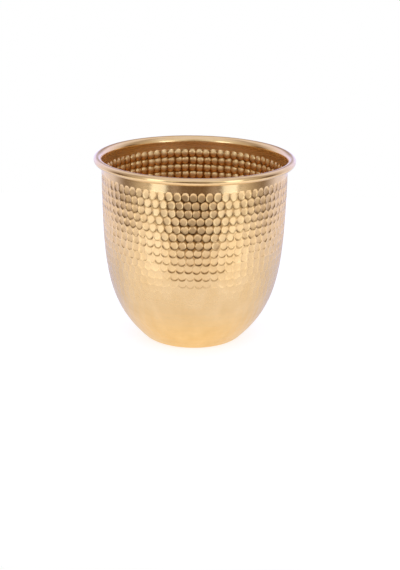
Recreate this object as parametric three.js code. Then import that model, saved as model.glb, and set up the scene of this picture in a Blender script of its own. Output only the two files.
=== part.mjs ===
// Hammered metal plant pot: a spun sheet shell whose edge is rolled outwards round a wire.
// Millimetres, +Z up. The pot stands on Z = 0 and Z is its axis.
import * as THREE from "three";

// Overall sizes
const potHeight = 140;
const rimDiameter = 150; // over the rolled edge
const sheet = 0.8; // thickness of the metal

// Rolled rim and the wire inside it
const wireRadius = 1.55;
const wireClearance = 0.3; // between the wire and the sheet rolled round it
const wireJoint = 1; // gap where the two ends of the wire meet
const rollGap = 0.25; // between the rolled edge and the wall beside it
const rollAngle = 235; // degrees from the top of the rim to the raw edge
const flareHeight = 4.6; // height in which the wall sweeps out into the rim

// Wall: its outside follows wallRadius - (wallRadius - footRadius) * exp(-(z / bowlHeight) ^ bowlPower)
const collarHeight = 5.4; // plain band between the rim and the hammer marks
const footRadius = 36.2; // where the line of the wall would meet the ground
const bowlHeight = 27.7; // the greater it is, the slower the wall fills out
const bowlPower = 1.07;

// Base
const footEdgeRadius = 8; // outside rounding between base and wall
const standingWidth = 8; // flat ring that the pot stands on
const recessDepth = 1.5; // how far the middle of the base is pushed up
const recessSlope = 3; // width of the step up to it

// Hammer marks: shallow pits in staggered rows that touch along raised ridges
const marksRound = 74; // in one row at the wall's full width
const markRows = 22;
const markDepth = 0.45;
const plainFoot = 7; // height under the lowest marks

// Facets
const rimFacets = 48;
const wallFacets = 40;
const floorFacets = 30;
const innerRings = 8; // up the inside of the wall
const rollSteps = 6;
const hiddenRollSteps = 5;
const flareSteps = 3;
const hiddenFlareSteps = 2;
const edgeSteps = 3;
const wireSides = 8;

// Sizes worked out from the ones above
const rollRadius = wireRadius + wireClearance + sheet;
const rollCentreRadius = rimDiameter / 2 - rollRadius;
const rollCentreHeight = potHeight - rollRadius;
const wallRadius = rimDiameter / 2 - 2 * rollRadius - rollGap;
const flareBase = potHeight - flareHeight;
const collarBase = potHeight - 2 * rollRadius - collarHeight;
const turn = 2 * Math.PI;

function wallRadiusAt(height) {
  return wallRadius - (wallRadius - footRadius) * Math.exp(-((height / bowlHeight) ** bowlPower));
}

// The wall's lean from the vertical, in radians: 0 on a straight wall, a quarter turn on flat ground.
function wallLeanAt(height) {
  const step = 0.01;
  return Math.atan((wallRadiusAt(height + step) - wallRadiusAt(height)) / step);
}

// A point of the wall at a height, moved in from the outside along the wall's normal.
function wallPoint(height, inset) {
  const lean = wallLeanAt(height);
  return new THREE.Vector2(
    wallRadiusAt(height) - inset * Math.cos(lean),
    height + inset * Math.sin(lean),
  );
}

// The height at which the rounding of the foot runs into the wall, found by closing in on it.
function findFootEdgeTop() {
  const passes = 40;
  let height = 0;
  for (let pass = 0; pass < passes; pass++) {
    height = footEdgeRadius * (1 - Math.sin(wallLeanAt(height)));
  }
  return height;
}

const footEdgeTop = findFootEdgeTop();
const standingOuter = wallRadiusAt(footEdgeTop) - footEdgeRadius * Math.cos(wallLeanAt(footEdgeTop));
const standingInner = standingOuter - standingWidth;
const recessRadius = standingInner - recessSlope;

// Heights spread evenly along the wall's curve between two heights, both ends included.
function heightsAlongWall(from, to, count) {
  const samples = 2000;
  const lengths = [0];
  for (let i = 1; i <= samples; i++) {
    const a = from + ((to - from) * (i - 1)) / samples;
    const b = from + ((to - from) * i) / samples;
    lengths.push(lengths[i - 1] + Math.hypot(b - a, wallRadiusAt(b) - wallRadiusAt(a)));
  }
  const heights = [];
  for (let k = 0, i = 0; k < count; k++) {
    const wanted = (lengths[samples] * k) / (count - 1);
    while (i < samples && lengths[i] < wanted) i++;
    heights.push(from + ((to - from) * i) / samples);
  }
  return heights;
}

// A closed surface is grown ring by ring: each ring is a list of points sorted by angle round the axis.
class RingSurface {
  constructor() {
    this.positions = [];
    this.faces = [];
    this.last = null;
  }

  addPoint(radius, height, angle) {
    this.positions.push(radius * Math.cos(angle), radius * Math.sin(angle), height);
    return { id: this.positions.length / 3 - 1, angle };
  }

  addFaces(triples) {
    for (const triple of triples) this.faces.push(...triple.map((point) => point.id));
  }

  // Joins the next ring to the last one, and goes on from it.
  grow(ring) {
    if (this.last) this.addFaces(zip(this.last, ring));
    this.last = ring;
  }

  growCircle(point, facets) {
    const ring = [];
    for (let i = 0; i < facets; i++) ring.push(this.addPoint(point.x, point.y, (turn * i) / facets));
    this.grow(ring);
  }

  growTip(height) {
    this.grow([this.addPoint(0, height, 0)]);
  }

  geometry() {
    const geometry = new THREE.BufferGeometry();
    geometry.setAttribute("position", new THREE.Float32BufferAttribute(this.positions, 3));
    geometry.setIndex(this.faces);
    geometry.computeVertexNormals();
    return geometry;
  }
}

function unwrap(angle) {
  return angle - turn * Math.round(angle / turn);
}

// Triangles between two rings that may differ in number, always taking the nearer next point.
// A ring of one point is a tip, and the other ring closes on it.
function zip(first, second) {
  const triples = [];
  let start = 0;
  for (let k = 1; k < second.length; k++) {
    const gap = (point) => Math.abs(unwrap(point.angle - first[0].angle));
    if (gap(second[k]) < gap(second[start])) start = k;
  }
  const firstTurn = unwrap(second[start].angle - first[0].angle);
  const travel = (ring, from, steps, lead) => {
    const angle = ring[(from + steps) % ring.length].angle - ring[from].angle;
    return lead + angle + (from + steps >= ring.length ? turn : 0);
  };
  const firstSteps = first.length > 1 ? first.length : 0;
  const secondSteps = second.length > 1 ? second.length : 0;
  let i = 0;
  let j = 0;
  while (i < firstSteps || j < secondSteps) {
    const a = first[i % first.length];
    const b = second[(start + j) % second.length];
    const nextFirst = i < firstSteps ? travel(first, 0, i + 1, 0) : Infinity;
    const nextSecond = j < secondSteps ? travel(second, start, j + 1, firstTurn) : Infinity;
    if (nextFirst <= nextSecond) {
      triples.push([a, first[(i + 1) % first.length], b]);
      i++;
    } else {
      triples.push([a, second[(start + j + 1) % second.length], b]);
      j++;
    }
  }
  return triples;
}

// The middles of the hammer marks, row by row from the foot up. The first and last rows are not
// struck: they only bound the marks beside them.
function layOutMarks() {
  const pitch = (turn * wallRadius) / marksRound;
  const heights = heightsAlongWall(plainFoot, collarBase, 2 * markRows + 1);
  const spacing = heights[1] - heights[0];
  const rowHeights = [plainFoot - spacing];
  for (let row = 0; row < markRows; row++) rowHeights.push(heights[2 * row + 1]);
  rowHeights.push(2 * collarBase - heights[2 * markRows - 1]);
  return rowHeights.map((height, row) => {
    const count = Math.round((turn * wallRadiusAt(height)) / pitch);
    const marks = [];
    for (let i = 0; i < count; i++) {
      marks.push({ height, angle: (turn * (i + (row % 2) / 2)) / count, corners: [] });
    }
    return marks;
  });
}

// Adds the struck band of the wall. Each mark is a fan from its sunk middle to the ridge corners
// round it, and a corner lies where three marks meet.
function growMarks(surface) {
  const rows = layOutMarks();
  let edge = null;
  for (let row = 0; row + 1 < rows.length; row++) {
    edge = zip(rows[row], rows[row + 1]).map((marks) => {
      const height = marks.reduce((sum, mark) => sum + mark.height, 0) / 3;
      const x = marks.reduce((sum, mark) => sum + Math.cos(mark.angle), 0);
      const y = marks.reduce((sum, mark) => sum + Math.sin(mark.angle), 0);
      const corner = surface.addPoint(wallRadiusAt(height), height, Math.atan2(y, x));
      for (const mark of marks) mark.corners.push({ ...corner, height });
      return corner;
    });
    edge.sort((a, b) => a.angle - b.angle);
    if (row === 0) surface.grow(edge);
  }
  for (const mark of rows.slice(1, -1).flat()) {
    const middle = wallPoint(mark.height, markDepth);
    const tip = surface.addPoint(middle.x, middle.y, mark.angle);
    const bearing = (corner) =>
      Math.atan2(corner.height - mark.height, unwrap(corner.angle - mark.angle) * middle.x);
    mark.corners.sort((a, b) => bearing(a) - bearing(b));
    surface.addFaces(
      mark.corners.map((corner, k) => [tip, corner, mark.corners[(k + 1) % mark.corners.length]]),
    );
  }
  surface.last = edge;
}

// Points on the foot's rounding from flat ground to the wall, inset by the metal's thickness or by 0.
function footEdgePoints(inset) {
  const centre = new THREE.Vector2(standingOuter, footEdgeRadius);
  const points = [];
  for (let k = 0; k <= edgeSteps; k++) {
    const lean = THREE.MathUtils.lerp(Math.PI / 2, wallLeanAt(footEdgeTop), k / edgeSteps);
    const reach = footEdgeRadius - inset;
    points.push(
      new THREE.Vector2(centre.x + reach * Math.cos(lean), centre.y - reach * Math.sin(lean)),
    );
  }
  return points;
}

// The base from its middle out to the wall, on its lower face or, with an inset, on its upper one.
function basePoints(inset) {
  return [
    new THREE.Vector2(recessRadius, recessDepth + inset),
    new THREE.Vector2(standingInner, inset),
    ...footEdgePoints(inset),
  ];
}

// The sweep from the wall out to the top of the rim, a quarter of an ellipse.
function flarePoints(inset, steps) {
  const wall = wallPoint(flareBase, inset);
  const out = rollCentreRadius - wall.x;
  const up = potHeight - (sheet - inset) - flareBase;
  const points = [];
  for (let k = 0; k <= steps; k++) {
    const angle = (Math.PI / 2) * (k / steps);
    points.push(
      new THREE.Vector2(rollCentreRadius - out * Math.cos(angle), flareBase + up * Math.sin(angle)),
    );
  }
  return points;
}

// The roll from the top of the rim round to the raw edge.
function rollPoints(radius, steps) {
  const points = [];
  for (let k = 1; k <= steps; k++) {
    const angle = THREE.MathUtils.degToRad((rollAngle * k) / steps);
    points.push(
      new THREE.Vector2(
        rollCentreRadius + radius * Math.sin(angle),
        rollCentreHeight + radius * Math.cos(angle),
      ),
    );
  }
  return points;
}

// The sheet is followed from the middle of its lower face, up the outside, round the raw edge of
// the roll, down the inside and back to the middle of the floor.
function makeShellGeometry() {
  const surface = new RingSurface();
  surface.growTip(recessDepth);
  for (const point of basePoints(0)) surface.growCircle(point, floorFacets);
  growMarks(surface);
  for (const point of flarePoints(0, hiddenFlareSteps)) surface.growCircle(point, rimFacets);
  for (const point of rollPoints(rollRadius - sheet, hiddenRollSteps)) surface.growCircle(point, rimFacets);
  for (const point of rollPoints(rollRadius, rollSteps).reverse()) surface.growCircle(point, rimFacets);
  for (const point of flarePoints(sheet, flareSteps).reverse()) surface.growCircle(point, rimFacets);
  const innerHeights = heightsAlongWall(footEdgeTop, collarBase, innerRings + 1).slice(1).reverse();
  for (const height of innerHeights) surface.growCircle(wallPoint(height, sheet), wallFacets);
  for (const point of basePoints(sheet).reverse()) surface.growCircle(point, floorFacets);
  surface.growTip(recessDepth + sheet);
  return surface.geometry();
}

// The centre line of the wire: a circle left open at its joint.
class WireLine extends THREE.Curve {
  getPoint(t, target = new THREE.Vector3()) {
    const open = wireJoint / rollCentreRadius;
    const angle = Math.PI / 2 + open / 2 + (turn - open) * t;
    return target.set(
      rollCentreRadius * Math.cos(angle),
      rollCentreRadius * Math.sin(angle),
      rollCentreHeight,
    );
  }
}

function makeWireGeometry() {
  const section = new THREE.Shape();
  for (let i = 0; i < wireSides; i++) {
    const angle = (turn * i) / wireSides;
    const x = wireRadius * Math.cos(angle);
    const y = wireRadius * Math.sin(angle);
    if (i === 0) section.moveTo(x, y);
    else section.lineTo(x, y);
  }
  section.closePath();
  return new THREE.ExtrudeGeometry(section, {
    steps: rimFacets,
    bevelEnabled: false,
    extrudePath: new WireLine(),
  });
}

function makeMesh(name, geometry, material) {
  const mesh = new THREE.Mesh(geometry, material);
  mesh.name = name;
  return mesh;
}

// Flat shading keeps the ridges between the hammer marks crisp.
const goldMetal = new THREE.MeshStandardMaterial({
  color: 0xd9a94e,
  metalness: 1,
  roughness: 0.28,
  flatShading: true,
});
const steelWire = new THREE.MeshStandardMaterial({ color: 0x8f8f8f, metalness: 1, roughness: 0.45 });

const pot = new THREE.Group();
pot.add(makeMesh("hammered_pot_shell", makeShellGeometry(), goldMetal));
pot.add(makeMesh("rim_wire", makeWireGeometry(), steelWire));

export default pot;
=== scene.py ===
import math

import bpy
import numpy as np
from mathutils import Matrix, Vector


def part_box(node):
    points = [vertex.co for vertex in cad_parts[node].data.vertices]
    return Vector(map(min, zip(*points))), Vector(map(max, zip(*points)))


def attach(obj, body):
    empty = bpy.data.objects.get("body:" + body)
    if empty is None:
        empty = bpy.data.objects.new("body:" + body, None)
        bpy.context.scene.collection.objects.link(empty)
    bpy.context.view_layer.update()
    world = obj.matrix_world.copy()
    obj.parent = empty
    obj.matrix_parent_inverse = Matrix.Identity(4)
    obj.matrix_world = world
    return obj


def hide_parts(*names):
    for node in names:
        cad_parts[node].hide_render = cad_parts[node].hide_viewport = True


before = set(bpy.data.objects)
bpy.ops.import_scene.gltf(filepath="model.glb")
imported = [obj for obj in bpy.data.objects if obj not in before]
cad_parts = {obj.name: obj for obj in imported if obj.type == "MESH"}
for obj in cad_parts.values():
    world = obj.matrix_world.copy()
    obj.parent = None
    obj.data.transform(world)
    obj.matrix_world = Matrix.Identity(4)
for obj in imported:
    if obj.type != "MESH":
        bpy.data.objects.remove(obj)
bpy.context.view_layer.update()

MM = 0.001
TURN = 2 * math.pi

# Sizes of the pot in millimetres. Height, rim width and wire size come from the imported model.
shell_low, shell_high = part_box("hammered_pot_shell")
POT_HEIGHT = (shell_high.z - shell_low.z) / MM
RIM_RADIUS = (shell_high.x - shell_low.x) / MM / 2
wire_low, wire_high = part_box("rim_wire")
WIRE_RADIUS = (wire_high.z - wire_low.z) / MM / 2
SHEET = 0.8
WIRE_CLEARANCE = 0.3
ROLL_GAP = 0.25
ROLL_ANGLE = math.radians(235)
FLARE_HEIGHT = 4.6
COLLAR_HEIGHT = 5.4
FOOT_RADIUS = 36.2
BOWL_HEIGHT = 27.7
BOWL_POWER = 1.07
FOOT_EDGE_RADIUS = 8
STANDING_WIDTH = 8
RECESS_DEPTH = 1.5
RECESS_SLOPE = 3

# Sizes worked out from the ones above
ROLL_RADIUS = WIRE_RADIUS + WIRE_CLEARANCE + SHEET
ROLL_CENTRE_RADIUS = RIM_RADIUS - ROLL_RADIUS
ROLL_CENTRE_HEIGHT = POT_HEIGHT - ROLL_RADIUS
WALL_RADIUS = RIM_RADIUS - 2 * ROLL_RADIUS - ROLL_GAP
FLARE_BASE = POT_HEIGHT - FLARE_HEIGHT
COLLAR_BASE = POT_HEIGHT - 2 * ROLL_RADIUS - COLLAR_HEIGHT

# Hammer marks in millimetres
MARK_PITCH = 5.88
MARK_ROWS = 22
PLAIN_FOOT = 7  # height under the lowest of these rows
ROW_DROP = 1.3  # how much lower the rows sit in front than behind
# How the marks of a row differ: in place round and along the wall, share of depth, and lean
MARK_STRAY_ROUND = 0.13
MARK_STRAY_ALONG = 0.12
MARK_DEPTH_SPREAD = 0.1
MARK_LEAN = 0.03
# Shape of the marks outside and of the bumps that they raise inside. Hollow is the share of the
# depth that is evenly hollow, while the rest is in the edges; softness is that of the ridges.
# The bumps are higher than the hollows are deep, which was chosen for the look of each face. So
# the sheet is thicker at a mark than SHEET says.
OUTSIDE_MARK = {
    "width": 5.7,
    "height": 6.4,
    "depth": 0.34,
    "hollow": 0.28,
    "power": 4,
    "softness": 0.012,
}
INSIDE_MARK = {
    "width": 6.0,
    "height": 6.3,
    "depth": 0.95,
    "hollow": 0.8,
    "power": 4,
    "softness": 0.02,
}
MARK_REACH = 1.6  # how far from the middle of its row a mark can show, in rows
# How the marks fade towards the foot: heights, and shares of the full depth at them
FADE_HEIGHTS = (0, 20, 45, 60, 68, 85, 105, 118)
FADE_SHARES = (0.25, 0.5, 0.6, 0.62, 0.72, 0.8, 0.9, 1.0)

# Finish of the metal. 0 is polished, 1 is struck as the outside is, and the inside is duller.
POLISHED_TO = (0.25, 0.6)  # shares of a mark's depth over which its polished edge turns dull
POLISH_HEIGHTS = (40, 58)  # between these heights the edges of the marks begin to be polished
FAINT_SHARE = 0.45  # how struck the metal counts below them, where the marks are faint
INSIDE_DULLNESS = 1.7
INSIDE_BAND_DULLNESS = 0.7  # of the plain band inside, between the bumps and the flare
BAND_FADE = 3  # length under the flare over which this dullness fades out
TOP_FADE = 0.8  # length under the collar over which the plain finish turns into the struck one

# Painted shade in the seams between the marks, and along the lower lip of each mark: darkening that
# stands in for the dark surroundings which these steep flanks mirror. Both fade out between two heights,
# and at the sides they end higher up than in front and behind.
SEAM_TO = (0.12, 0.45)  # shares of a mark's depth over which the seam beside it fades out
SEAM_HEIGHTS = (68, 88)
SEAM_RISE = 38
LIP_HEIGHTS = (56, 62)
LIP_RISE = 42
LIP_RISE_POWER = 1.5  # the greater it is, the nearer to the sides the lips rise
LIP_WIDTH = 0.14  # as a share of half the mark
LIP_STRENGTH = 1.8
LIP_ENDS = 1.5  # the greater it is, the shorter the lip
LIP_SPREAD = 4  # how much darker the lips of deeper marks are
ASIDE_POWER = 8  # how soon the front counts as a side
ASIDE_LOSS = 0.5  # share of all painted shade that is missing at the sides

# Fineness of the mesh: columns round the pot, and steps up the wall above and below a height
COLUMNS = 1000
STEP_CHANGE = 55
OUTSIDE_STEPS = (0.5, 0.9)
INSIDE_STEPS = (0.62, 1.8)
# Points on the parts of the profile that aren't hammered; the hidden ones lie inside the roll
PANEL_RADII = (4, 10, 16)
RECESS_POINTS = 9
FOOT_POINTS = 12
FLARE_POINTS = 12
HIDDEN_FLARE_POINTS = 8
ROLL_POINTS = 28
HIDDEN_ROLL_POINTS = 12
CURVE_POINTS = 4000  # to measure the wall's curve with
CLOSING_PASSES = 40  # to close in on the top of the foot's rounding

# Colours and fine texture of the metals: noise scales are per metre, for each axis
GOLD_DEEP = (0.86, 0.58, 0.265)
GOLD_PALE = (0.91, 0.64, 0.32)
# Painted shade: the dark brown towards which the seams and lower lips are painted, and how far
PAINTED_SEAM_SHADE = (0.24, 0.11, 0.02)
SEAM_SHADE_STRENGTH = 0.92
PLAIN_ROUGHNESS = 0.18
STRUCK_ROUGHNESS = 0.33
MOTTLE_SCALE = (90, 90, 60)
MOTTLE_DETAIL = 3
LATHE_SCALE = (25, 25, 2600)
LATHE_DETAIL = 4
LATHE_ROUGHNESS = 0.03
LATHE_DEPTH = 0.0000025
STEEL_DARK = (0.36, 0.35, 0.34)
STEEL_LIGHT = (0.52, 0.51, 0.50)
STEEL_ROUGHNESS = (0.34, 0.46)
DRAWN_SCALE = (60, 60, 4000)
DRAWN_DETAIL = 4
NOISE_SPAN = (0.3, 0.7)  # the values between which most of a noise lies

# Camera, fitted to the outline of the pot: distances in millimetres from the middle of the pot's axis
CAMERA_DISTANCE = 900
CAMERA_ELEVATION = math.radians(16.96)
CAMERA_ROLL = math.radians(0.805)
CAMERA_AIM_HEIGHT = 70
IMAGE_WIDTH = 400
IMAGE_HEIGHT = 570
AIM_PIXEL = (193.64, 245.56)  # where the aim point shows in the photograph
FOCAL_PIXELS = 1181.9
SENSOR = 36
CLIP_START = 0.01

# The table in millimetres, and its light. For the camera it glows evenly, and for the pot it
# glows in zones, each of which begins between two distances in metres: round the foot, far in
# front, near each softbox, at the sides and behind.
FLOOR_HALF_WIDTH = 390
FLOOR_FRONT = 335
FLOOR_BACK = 420
FLOOR_DROP = 0.2  # how far it lies under the foot, so that their faces don't coincide
SEEN_ALBEDO = (0.5, 0.5, 0.5)
SEEN_GLOW = 0.7
MIRRORED_ALBEDO = (0.46, 0.48, 0.54)
FOOT_REACH = (0.046, 0.085)
FOOT_GLOW = (0.72, 0.65, 0.48)
FOOT_BACK_GLOW = (0.44, 0.44, 0.52)
FRONT_GLOW = (0.59, 0.58, 0.57)
FAR_REACH = (-0.18, -0.26)
FAR_GLOW = (0.80, 0.69, 0.55)
BOX_REACH = (0.06, 0.14)
BOX_FRONT = (-0.08, -0.16)
BOX_GLOW = (0.88, 0.86, 0.82)
SIDE_REACH = (0.20, 0.32)
SIDE_GLOW = (0.74, 0.71, 0.76)
BACK_REACH = (-0.045, 0.04)
BACK_GLOW = (0.38, 0.41, 0.56)

# Light from the tent round the pot. Each table goes round from the camera's side to the back, in
# degrees from the camera's direction. The layers lie over one another from below the table to
# overhead, each with the elevations in degrees between which it covers the one under it.
SHADE = (0.16, 0.105, 0.07)
DARK = (0.10, 0.06, 0.03)
DIM = (0.24, 0.19, 0.17)
GREY = (0.42, 0.37, 0.40)
WHITE = (0.62, 0.59, 0.60)
BRIGHT = (0.84, 0.88, 0.98)
PALE = (0.70, 0.66, 0.80)
BACKDROP = (0.86, 0.90, 1.30)
LOW_BACKDROP = (0.95, 1.00, 1.75)
OVERHEAD = (0.82, 0.85, 1.10)
SEEN_TENT = (1.0, 1.0, 1.0)
BELOW = (
    (0, SHADE), (14, SHADE), (25, GREY), (30, SHADE), (54, SHADE),
    (61, WHITE), (88, DIM), (94, DIM), (120, BACKDROP),
)
HORIZON = (
    (0, DARK), (14, DARK), (26, BRIGHT), (45, BRIGHT), (58, WHITE), (70, WHITE),
    (85, DARK), (96, DARK), (109, PALE), (120, BACKDROP), (145, LOW_BACKDROP),
)
LOW_SKY = (
    (0, WHITE), (19, BRIGHT), (45, BRIGHT), (62, WHITE),
    (90, GREY), (125, BACKDROP), (150, LOW_BACKDROP), (172, GREY),
)
HIGH_SKY = (
    (0, OVERHEAD), (60, OVERHEAD), (86, GREY), (112, OVERHEAD), (145, BACKDROP), (172, WHITE),
)
ZENITH = ((0, OVERHEAD),)
LAYERS = ((HORIZON, (-8, -1)), (LOW_SKY, (6, 17)), (HIGH_SKY, (32, 46)), (ZENITH, (56, 76)))

# Softboxes: two strips left and right in front, distances in millimetres
SOFTBOX_AZIMUTH = math.radians(40)
SOFTBOX_DISTANCE = 380
SOFTBOX_WIDTH = 120
SOFTBOX_BASE = 8
SOFTBOX_HEIGHT = 270
SOFTBOX_RADIANCE = 1.1
SOFTBOX_COLOUR = (0.88, 1.05, 1.32)

RANDOM_SEED = 7
random = np.random.default_rng(RANDOM_SEED)


def wall_radius(height):
    return WALL_RADIUS - (WALL_RADIUS - FOOT_RADIUS) * np.exp(-((height / BOWL_HEIGHT) ** BOWL_POWER))


def wall_lean(height):
    """The wall's lean from the vertical, in radians."""
    step = 0.01
    return np.arctan((wall_radius(height + step) - wall_radius(height)) / step)


def wall_point(height, inset):
    """Radius and height of a point moved in from the outside along the wall's normal."""
    lean = wall_lean(height)
    return wall_radius(height) - inset * np.cos(lean), height + inset * np.sin(lean)


def foot_edge_top():
    """The height at which the rounding of the foot runs into the wall."""
    height = 0.0
    for _ in range(CLOSING_PASSES):
        height = FOOT_EDGE_RADIUS * (1 - math.sin(wall_lean(height)))
    return height


FOOT_EDGE_TOP = foot_edge_top()
FOOT_LEAN = wall_lean(FOOT_EDGE_TOP)
STANDING_OUTER = wall_radius(FOOT_EDGE_TOP) - FOOT_EDGE_RADIUS * math.cos(FOOT_LEAN)
STANDING_INNER = STANDING_OUTER - STANDING_WIDTH
RECESS_RADIUS = STANDING_INNER - RECESS_SLOPE

# The wall's height as a function of the length walked up its curve, and back
curve_heights = np.linspace(FOOT_EDGE_TOP, FLARE_BASE, CURVE_POINTS)
curve_lengths = np.concatenate(
    ([0.0], np.cumsum(np.hypot(np.diff(curve_heights), np.diff(wall_radius(curve_heights)))))
)


def height_at(length):
    return np.interp(length, curve_lengths, curve_heights)


def length_at(height):
    return np.interp(height, curve_heights, curve_lengths)


def row_drop(angles):
    """How much lower the rows sit at these angles than behind."""
    return ROW_DROP / 2 * (1 - np.sin(angles))


def hammer_rows():
    """The hammer marks row by row, from the collar down. One row more than MARK_ROWS lets the
    faint marks run out over the foot."""
    top = length_at(COLLAR_BASE)
    spacing = (top - length_at(PLAIN_FOOT)) / MARK_ROWS
    rows = []
    for index in range(MARK_ROWS + 1):
        middle = top - spacing * (index + 0.5)
        height = height_at(middle)
        count = round(TURN * wall_radius(height) / MARK_PITCH) + int(random.integers(-1, 2))
        steps = np.arange(count) + random.uniform(0, 1)
        angles = -TURN / 4 + steps * TURN / count
        fade = np.interp(height, FADE_HEIGHTS, FADE_SHARES)
        stray = random.normal(0, MARK_STRAY_ROUND, count)
        rows.append(
            {
                "middle": middle,
                "count": count,
                "fade": fade,
                "angles": angles + stray / wall_radius(height),
                "lengths": middle - row_drop(angles) + random.normal(0, MARK_STRAY_ALONG, count),
                "depths": fade * random.normal(1, MARK_DEPTH_SPREAD, count),
                "leans": MARK_LEAN * fade * random.normal(0, 1, (2, count)),
            }
        )
    return rows, spacing


def hammer_depth(rows, spacing, angles, lengths, mark):
    """How far the marks push the sheet in, at each angle (columns) and length (rows), and that
    as a share of the nearest mark's depth: 1 in its middle, 0 on the ridges and plain metal.
    The third grid is 1 along the lower lips of the marks."""
    angle_grid, length_grid = np.meshgrid(angles, lengths)
    radius_grid = wall_radius(height_at(length_grid))
    total = np.ones_like(angle_grid)  # a plain sheet counts as a mark of no depth
    full = np.full_like(angle_grid, 1e-3)
    lips = np.zeros_like(angle_grid)
    for row in rows:
        near = np.abs(lengths - row["middle"]) < MARK_REACH * spacing
        if not near.any():
            continue
        angle = angle_grid[near]
        count = row["count"]
        before = np.floor((angle - row["angles"][0]) / (TURN / count)).astype(int)
        for offset in (-1, 0, 1, 2):
            k = (before + offset) % count
            around = angle - row["angles"][k]
            around = (around - TURN * np.round(around / TURN)) * radius_grid[near]
            along = length_grid[near] - row["lengths"][k]
            out = (2 * around / mark["width"]) ** 2 + (2 * along / mark["height"]) ** 2
            own = mark["depth"] * row["depths"][k]
            depth = own * (1 - mark["hollow"] * out - (1 - mark["hollow"]) * out ** mark["power"])
            depth += (row["leans"][0, k] * around + row["leans"][1, k] * along) * np.exp(-(out**2))
            total[near] += np.exp(depth / mark["softness"])
            full[near] = np.maximum(full[near], own)
            lower = np.clip(-2 * along / mark["height"], 0, 1) ** LIP_ENDS
            lip = lower * np.exp(-(((np.sqrt(out) - 1) / LIP_WIDTH) ** 2))
            lip = LIP_STRENGTH * lip * (row["depths"][k] / row["fade"]) ** LIP_SPREAD
            lips[near] = np.maximum(lips[near], np.minimum(1, lip))
    depth = mark["softness"] * np.log(total)
    return depth, depth / full, lips


def arc(reach, start, end, count):
    """Points on an arc of the roll, its angles measured from straight up, turning outwards."""
    return [
        (ROLL_CENTRE_RADIUS + reach * math.sin(a), ROLL_CENTRE_HEIGHT + reach * math.cos(a))
        for a in np.linspace(start, end, count)
    ]


def flare(inset, count):
    """Points on the sweep from the wall out to the top of the rim, a quarter of an ellipse."""
    wall_r, _ = wall_point(FLARE_BASE, inset)
    out = ROLL_CENTRE_RADIUS - wall_r
    up = POT_HEIGHT - (SHEET - inset) - FLARE_BASE
    angles = np.linspace(0, TURN / 4, count)
    return [(ROLL_CENTRE_RADIUS - out * math.cos(a), FLARE_BASE + up * math.sin(a)) for a in angles]


def over_rim():
    """Points from the wall's outside through the roll to its raw edge, and back over the rim to
    the wall's inside."""
    return (
        flare(0, HIDDEN_FLARE_POINTS)
        + arc(ROLL_RADIUS - SHEET, 0, ROLL_ANGLE, HIDDEN_ROLL_POINTS)[1:]
        + arc(ROLL_RADIUS, ROLL_ANGLE, 0, ROLL_POINTS)[:-1]
        + flare(SHEET, FLARE_POINTS)[::-1]
    )


def base(inset):
    """The base from its middle out to the wall: raised panel, soft step, standing ring, foot rounding."""
    points = [(r, RECESS_DEPTH + inset) for r in PANEL_RADII]
    for t in np.linspace(0, 1, RECESS_POINTS):
        rise = RECESS_DEPTH * (1 - t * t * (3 - 2 * t))
        points.append((RECESS_RADIUS + RECESS_SLOPE * t, rise + inset))
    points.append(((STANDING_INNER + STANDING_OUTER) / 2, inset))
    reach = FOOT_EDGE_RADIUS - inset
    for lean in np.linspace(TURN / 4, FOOT_LEAN, FOOT_POINTS):
        points.append(
            (STANDING_OUTER + reach * math.cos(lean), FOOT_EDGE_RADIUS - reach * math.sin(lean))
        )
    return points


def plain_rings(points):
    """Even rings, with nothing struck and no painted shade."""
    ones = np.ones(COLUMNS)
    none = np.zeros((len(points), COLUMNS))
    return [(r * ones, z * ones) for r, z in points], none, none


def ring_lengths(steps):
    """The lengths up the wall's curve at which its rings lie."""
    change = length_at(STEP_CHANGE)
    low = np.linspace(curve_lengths[0], change, round((change - curve_lengths[0]) / steps[1]))
    high = np.linspace(change, curve_lengths[-1], round((curve_lengths[-1] - change) / steps[0]))
    return np.concatenate((low[1:-1], high[:-1]))


def wall_rings(hammered, angles, inset, steps, mark, dullness, band_dullness):
    """The rings of the wall from the foot up, how struck they are, and their painted shade in the seams
    and lower lips.
    """
    band = ring_lengths(steps)
    depth, share, lips = hammer_depth(*hammered, angles, band, mark)
    heights = height_at(band)
    rings = [wall_point(h, inset + d) for h, d in zip(heights, depth)]

    heights = heights[:, None]
    collar = length_at(COLLAR_BASE) - row_drop(angles)[None, :]
    top = np.clip((collar - band[:, None]) / TOP_FADE, 0, 1)
    aside = 1 - np.abs(np.sin(angles))[None, :] ** ASIDE_POWER
    # Painted shade: the seams and the lower lips of the marks are darkened, less at the sides than in
    # front and behind.
    seam = np.interp(share, SEAM_TO, (1, 0))
    seam *= np.interp(heights - SEAM_RISE * aside, SEAM_HEIGHTS, (0, 1))
    lips *= np.interp(heights - LIP_RISE * aside**LIP_RISE_POWER, LIP_HEIGHTS, (0, 1))
    seam = np.maximum(seam, lips) * top * (1 - ASIDE_LOSS * aside)

    clear = np.interp(heights, POLISH_HEIGHTS, (0, 1))
    share = FAINT_SHARE + (np.interp(share, POLISHED_TO, (0, 1)) - FAINT_SHARE) * clear
    smooth = band_dullness * np.clip((FLARE_BASE - heights) / BAND_FADE, 0, 1)
    return rings, smooth + (dullness * share - smooth) * top, seam


def mesh_object(name, vertices, faces, material):
    mesh = bpy.data.meshes.new(name)
    mesh.from_pydata((vertices * MM).tolist(), [], faces)
    mesh.polygons.foreach_set("use_smooth", [True] * len(mesh.polygons))
    mesh.materials.append(material)
    mesh.update()
    piece = bpy.data.objects.new(name, mesh)
    bpy.context.scene.collection.objects.link(piece)
    return piece


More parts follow.
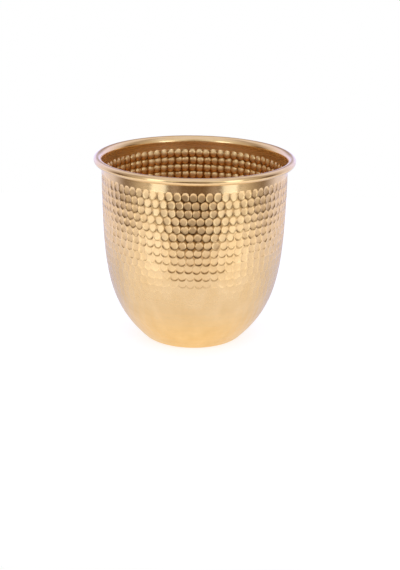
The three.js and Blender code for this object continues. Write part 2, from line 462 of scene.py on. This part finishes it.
def make_shell(material):
    """The whole sheet as one closed mesh, followed from under the base, up outside, round the
    roll, down inside and back to the floor. Both faces carry the hammer marks."""
    angles = np.arange(COLUMNS) * TURN / COLUMNS
    hammered = hammer_rows()
    outside = wall_rings(hammered, angles, 0, OUTSIDE_STEPS, OUTSIDE_MARK, 1, 0)
    inside = wall_rings(
        hammered, angles, SHEET, INSIDE_STEPS, INSIDE_MARK, INSIDE_DULLNESS, INSIDE_BAND_DULLNESS
    )
    inside = [layer[::-1] for layer in inside]
    parts = (
        plain_rings(base(0)),
        outside,
        plain_rings(over_rim()),
        inside,
        plain_rings(base(SHEET)[::-1]),
    )

    rings = [ring for part in parts for ring in part[0]]
    r = np.array([ring[0] for ring in rings])
    z = np.array([ring[1] for ring in rings])
    vertices = np.stack((r * np.cos(angles), r * np.sin(angles), z), axis=2).reshape(-1, 3)
    first_tip = len(vertices)
    tips = [[0, 0, RECESS_DEPTH], [0, 0, RECESS_DEPTH + SHEET]]
    vertices = np.concatenate((vertices, tips))

    here = np.arange(COLUMNS)
    beside = (here + 1) % COLUMNS
    faces = []
    for k in range(len(rings) - 1):
        low = k * COLUMNS
        high = low + COLUMNS
        faces += np.stack((low + here, low + beside, high + beside, high + here), axis=1).tolist()
    last = (len(rings) - 1) * COLUMNS
    faces += [(first_tip, int(b), int(a)) for a, b in zip(here, beside)]
    faces += [(first_tip + 1, int(last + a), int(last + b)) for a, b in zip(here, beside)]

    piece = mesh_object("hammered_shell", vertices, faces, material)
    # The seam attribute holds the share of painted shade in the seams and along the lower lips.
    for index, name in ((1, "struck"), (2, "seam")):
        values = np.concatenate((*[part[index].ravel() for part in parts], [0, 0]))
        layer = piece.data.attributes.new(name, "FLOAT", "POINT")
        layer.data.foreach_set("value", values)
    return piece


def principled(name):
    material = bpy.data.materials.new(name)
    material.use_nodes = True
    return material, material.node_tree, material.node_tree.nodes["Principled BSDF"]


def noise(tree, place, scale, detail):
    """Noise that is stretched by a scale for each axis."""
    stretch = tree.nodes.new("ShaderNodeMapping")
    stretch.inputs["Scale"].default_value = scale
    tree.links.new(place, stretch.inputs["Vector"])
    node = tree.nodes.new("ShaderNodeTexNoise")
    node.inputs["Scale"].default_value = 1
    node.inputs["Detail"].default_value = detail
    tree.links.new(stretch.outputs[0], node.inputs["Vector"])
    return node.outputs["Fac"]


def map_range(tree, value, low, high, start, end):
    node = tree.nodes.new("ShaderNodeMapRange")
    tree.links.new(value, node.inputs["Value"])
    for name, number in (("From Min", low), ("From Max", high), ("To Min", start), ("To Max", end)):
        node.inputs[name].default_value = number
    return node.outputs[0]


def colour_mix(tree, factor, a, b):
    """From a to b by the factor. In a colour mix node, sockets 6 and 7 are the colours."""
    node = tree.nodes.new("ShaderNodeMix")
    node.data_type = "RGBA"
    tree.links.new(factor, node.inputs["Factor"])
    for socket, value in ((node.inputs[6], a), (node.inputs[7], b)):
        if isinstance(value, tuple):
            socket.default_value = (*value, 1)
        else:
            tree.links.new(value, socket)
    return node.outputs[2]


def value_math(tree, kind, *values):
    node = tree.nodes.new("ShaderNodeMath")
    node.operation = kind
    for socket, value in zip(node.inputs, values):
        if isinstance(value, (int, float)):
            socket.default_value = value
        else:
            tree.links.new(value, socket)
    return node.outputs[0]


def attribute(tree, name):
    node = tree.nodes.new("ShaderNodeAttribute")
    node.attribute_name = name
    return node.outputs["Fac"]


def make_gold():
    """Satin gold metal: duller where it is struck, darkened by painted shade in the seams and along the
    lower lips of the marks, with the fine lines of the lathe round the pot and a faint mottling."""
    material, tree, shader = principled("gold_sheet")
    shader.inputs["Metallic"].default_value = 1
    place = tree.nodes.new("ShaderNodeTexCoord").outputs["Object"]
    mottle = noise(tree, place, MOTTLE_SCALE, MOTTLE_DETAIL)
    lathe = noise(tree, place, LATHE_SCALE, LATHE_DETAIL)

    tone = colour_mix(tree, map_range(tree, mottle, *NOISE_SPAN, 0, 1), GOLD_DEEP, GOLD_PALE)
    # Painted shade: the seams and lower lips of the marks are darkened towards dark brown.
    painted_shade = value_math(tree, "MULTIPLY", attribute(tree, "seam"), SEAM_SHADE_STRENGTH)
    tree.links.new(colour_mix(tree, painted_shade, tone, PAINTED_SEAM_SHADE), shader.inputs["Base Color"])

    struck = attribute(tree, "struck")
    dull = value_math(tree, "MULTIPLY_ADD", struck, STRUCK_ROUGHNESS - PLAIN_ROUGHNESS, PLAIN_ROUGHNESS)
    fine = map_range(tree, lathe, *NOISE_SPAN, -LATHE_ROUGHNESS, LATHE_ROUGHNESS)
    tree.links.new(value_math(tree, "ADD", dull, fine), shader.inputs["Roughness"])

    bump = tree.nodes.new("ShaderNodeBump")
    bump.inputs["Strength"].default_value = 1
    bump.inputs["Distance"].default_value = LATHE_DEPTH
    tree.links.new(lathe, bump.inputs["Height"])
    tree.links.new(bump.outputs[0], shader.inputs["Normal"])
    return material


def make_steel():
    """Drawn wire: grey, with fine lines of lighter and darker metal."""
    material, tree, shader = principled("steel_wire")
    shader.inputs["Metallic"].default_value = 1
    place = tree.nodes.new("ShaderNodeTexCoord").outputs["Object"]
    drawn = map_range(tree, noise(tree, place, DRAWN_SCALE, DRAWN_DETAIL), *NOISE_SPAN, 0, 1)
    tree.links.new(colour_mix(tree, drawn, STEEL_DARK, STEEL_LIGHT), shader.inputs["Base Color"])
    tree.links.new(map_range(tree, drawn, 0, 1, *STEEL_ROUGHNESS), shader.inputs["Roughness"])
    return material


def make_camera():
    """A camera turned so that the aim point shows where it does in the photograph."""
    data = bpy.data.cameras.new("camera")
    data.sensor_width = SENSOR
    data.lens = FOCAL_PIXELS * SENSOR / IMAGE_HEIGHT
    data.clip_start = CLIP_START
    camera = bpy.data.objects.new("camera", data)
    bpy.context.scene.collection.objects.link(camera)
    bpy.context.scene.camera = camera

    back = CAMERA_DISTANCE * math.cos(CAMERA_ELEVATION)
    up = CAMERA_AIM_HEIGHT + CAMERA_DISTANCE * math.sin(CAMERA_ELEVATION)
    forward = Vector((0, math.cos(CAMERA_ELEVATION), -math.sin(CAMERA_ELEVATION)))
    right = Vector((1, 0, 0))
    looking = Matrix((right, forward.cross(right), forward))
    ray = Vector(
        (
            (AIM_PIXEL[0] - IMAGE_WIDTH / 2) / FOCAL_PIXELS,
            (AIM_PIXEL[1] - IMAGE_HEIGHT / 2) / FOCAL_PIXELS,
            1,
        )
    )
    ray.normalize()
    turn = Vector((0, 0, 1)).rotation_difference(ray).to_matrix()
    looking = Matrix.Rotation(CAMERA_ROLL, 3, ray) @ turn @ looking
    axes = Matrix((looking[0], -looking[1], -looking[2])).transposed()
    camera.matrix_world = Matrix.Translation(Vector((0, -back, up)) * MM) @ axes.to_4x4()


def mirrored_glow(tree):
    """The light of the table as the pot mirrors it, zone by zone."""
    place = tree.nodes.new("ShaderNodeTexCoord").outputs["Object"]
    length = tree.nodes.new("ShaderNodeVectorMath")
    length.operation = "LENGTH"
    tree.links.new(place, length.inputs[0])
    split = tree.nodes.new("ShaderNodeSeparateXYZ")
    tree.links.new(place, split.inputs[0])
    depth = split.outputs["Y"]
    aside = value_math(tree, "ABSOLUTE", split.outputs["X"])

    away = map_range(tree, length.outputs["Value"], *FOOT_REACH, 0, 1)
    behind = map_range(tree, depth, *BACK_REACH, 0, 1)
    far = map_range(tree, depth, *FAR_REACH, 0, 1)
    beside = map_range(tree, aside, *SIDE_REACH, 0, 1)
    boxes = map_range(tree, aside, *BOX_REACH, 0, 1)
    boxes = value_math(tree, "MULTIPLY", boxes, map_range(tree, depth, *BOX_FRONT, 0, 1))

    foot_glow = colour_mix(tree, behind, FOOT_GLOW, FOOT_BACK_GLOW)
    away_glow = colour_mix(tree, behind, colour_mix(tree, far, FRONT_GLOW, FAR_GLOW), BACK_GLOW)
    away_glow = colour_mix(tree, beside, away_glow, SIDE_GLOW)
    away_glow = colour_mix(tree, boxes, away_glow, BOX_GLOW)
    return colour_mix(tree, away, foot_glow, away_glow)


def make_floor():
    """A white table: an evenly glowing one for the camera, and one with zones for the pot to mirror."""
    material = bpy.data.materials.new("floor")
    material.use_nodes = True
    tree = material.node_tree
    tree.nodes.clear()
    output = tree.nodes.new("ShaderNodeOutputMaterial")
    path = tree.nodes.new("ShaderNodeLightPath")
    mix = tree.nodes.new("ShaderNodeMixShader")
    tree.links.new(path.outputs["Is Camera Ray"], mix.inputs[0])
    tree.links.new(mix.outputs[0], output.inputs["Surface"])

    seen = tree.nodes.new("ShaderNodeEmission")
    seen.inputs["Strength"].default_value = SEEN_GLOW
    mirrored = tree.nodes.new("ShaderNodeEmission")
    tree.links.new(mirrored_glow(tree), mirrored.inputs["Color"])
    for socket, albedo, glow in (
        (mix.inputs[1], MIRRORED_ALBEDO, mirrored),
        (mix.inputs[2], SEEN_ALBEDO, seen),
    ):
        diffuse = tree.nodes.new("ShaderNodeBsdfDiffuse")
        diffuse.inputs["Color"].default_value = (*albedo, 1)
        both = tree.nodes.new("ShaderNodeAddShader")
        tree.links.new(diffuse.outputs[0], both.inputs[0])
        tree.links.new(glow.outputs[0], both.inputs[1])
        tree.links.new(both.outputs[0], socket)

    x, y, z = FLOOR_HALF_WIDTH, (-FLOOR_FRONT, FLOOR_BACK), -FLOOR_DROP
    vertices = np.array([(-x, y[0], z), (x, y[0], z), (x, y[1], z), (-x, y[1], z)])
    floor = mesh_object("floor", vertices, [[0, 1, 2, 3]], material)


def by_azimuth(tree, azimuth, table):
    """The colours of a table of degrees and colours, at an azimuth that runs from 0 to 1."""
    ramp = tree.nodes.new("ShaderNodeValToRGB")
    tree.links.new(azimuth, ramp.inputs[0])
    elements = ramp.color_ramp.elements
    elements.remove(elements[1])
    for k, (degrees, colour) in enumerate(table):
        element = elements[0] if k == 0 else elements.new(degrees / 180)
        element.position = degrees / 180
        element.color = (*colour, 1)
    return ramp.outputs[0]


def above(tree, height, elevations):
    """0 below the first elevation in degrees and 1 above the second."""
    node = tree.nodes.new("ShaderNodeMapRange")
    node.interpolation_type = "SMOOTHSTEP"
    tree.links.new(height, node.inputs["Value"])
    node.inputs["From Min"].default_value = math.sin(math.radians(elevations[0]))
    node.inputs["From Max"].default_value = math.sin(math.radians(elevations[1]))
    return node.outputs[0]


def make_world():
    """A white tent with a dim side towards the camera."""
    world = bpy.data.worlds.new("studio")
    bpy.context.scene.world = world
    world.use_nodes = True
    tree = world.node_tree
    tree.nodes.clear()
    output = tree.nodes.new("ShaderNodeOutputWorld")
    background = tree.nodes.new("ShaderNodeBackground")
    tree.links.new(background.outputs[0], output.inputs[0])
    place = tree.nodes.new("ShaderNodeTexCoord")
    split = tree.nodes.new("ShaderNodeSeparateXYZ")
    tree.links.new(place.outputs["Generated"], split.inputs[0])

    side = value_math(tree, "ABSOLUTE", split.outputs["X"])
    front = value_math(tree, "MULTIPLY", split.outputs["Y"], -1)
    azimuth = value_math(tree, "DIVIDE", value_math(tree, "ARCTAN2", side, front), math.pi)
    tent = by_azimuth(tree, azimuth, BELOW)
    for table, elevations in LAYERS:
        cover = above(tree, split.outputs["Z"], elevations)
        tent = colour_mix(tree, cover, tent, by_azimuth(tree, azimuth, table))
    path = tree.nodes.new("ShaderNodeLightPath")
    tent = colour_mix(tree, path.outputs["Is Camera Ray"], tent, SEEN_TENT)
    tree.links.new(tent, background.inputs["Color"])


def make_softboxes():
    for name, sign in (("left", -1), ("right", 1)):
        data = bpy.data.lights.new("softbox_" + name, "AREA")
        data.shape = "RECTANGLE"
        data.size = SOFTBOX_WIDTH * MM
        data.size_y = SOFTBOX_HEIGHT * MM
        data.energy = SOFTBOX_RADIANCE * math.pi * data.size * data.size_y
        data.color = SOFTBOX_COLOUR
        softbox = bpy.data.objects.new("softbox_" + name, data)
        bpy.context.scene.collection.objects.link(softbox)
        softbox.visible_camera = False
        x = sign * SOFTBOX_DISTANCE * math.sin(SOFTBOX_AZIMUTH)
        y = -SOFTBOX_DISTANCE * math.cos(SOFTBOX_AZIMUTH)
        softbox.location = Vector((x, y, SOFTBOX_BASE + SOFTBOX_HEIGHT / 2)) * MM
        softbox.rotation_euler = (math.pi / 2, 0, sign * SOFTBOX_AZIMUTH)


gold = make_gold()
steel = make_steel()
make_camera()
make_world()
make_softboxes()
make_floor()

shell = make_shell(gold)
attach(shell, "root")
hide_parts("hammered_pot_shell")

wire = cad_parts["rim_wire"]
wire.data.materials.clear()
wire.data.materials.append(steel)

bpy.context.scene.view_settings.view_transform = "Standard"
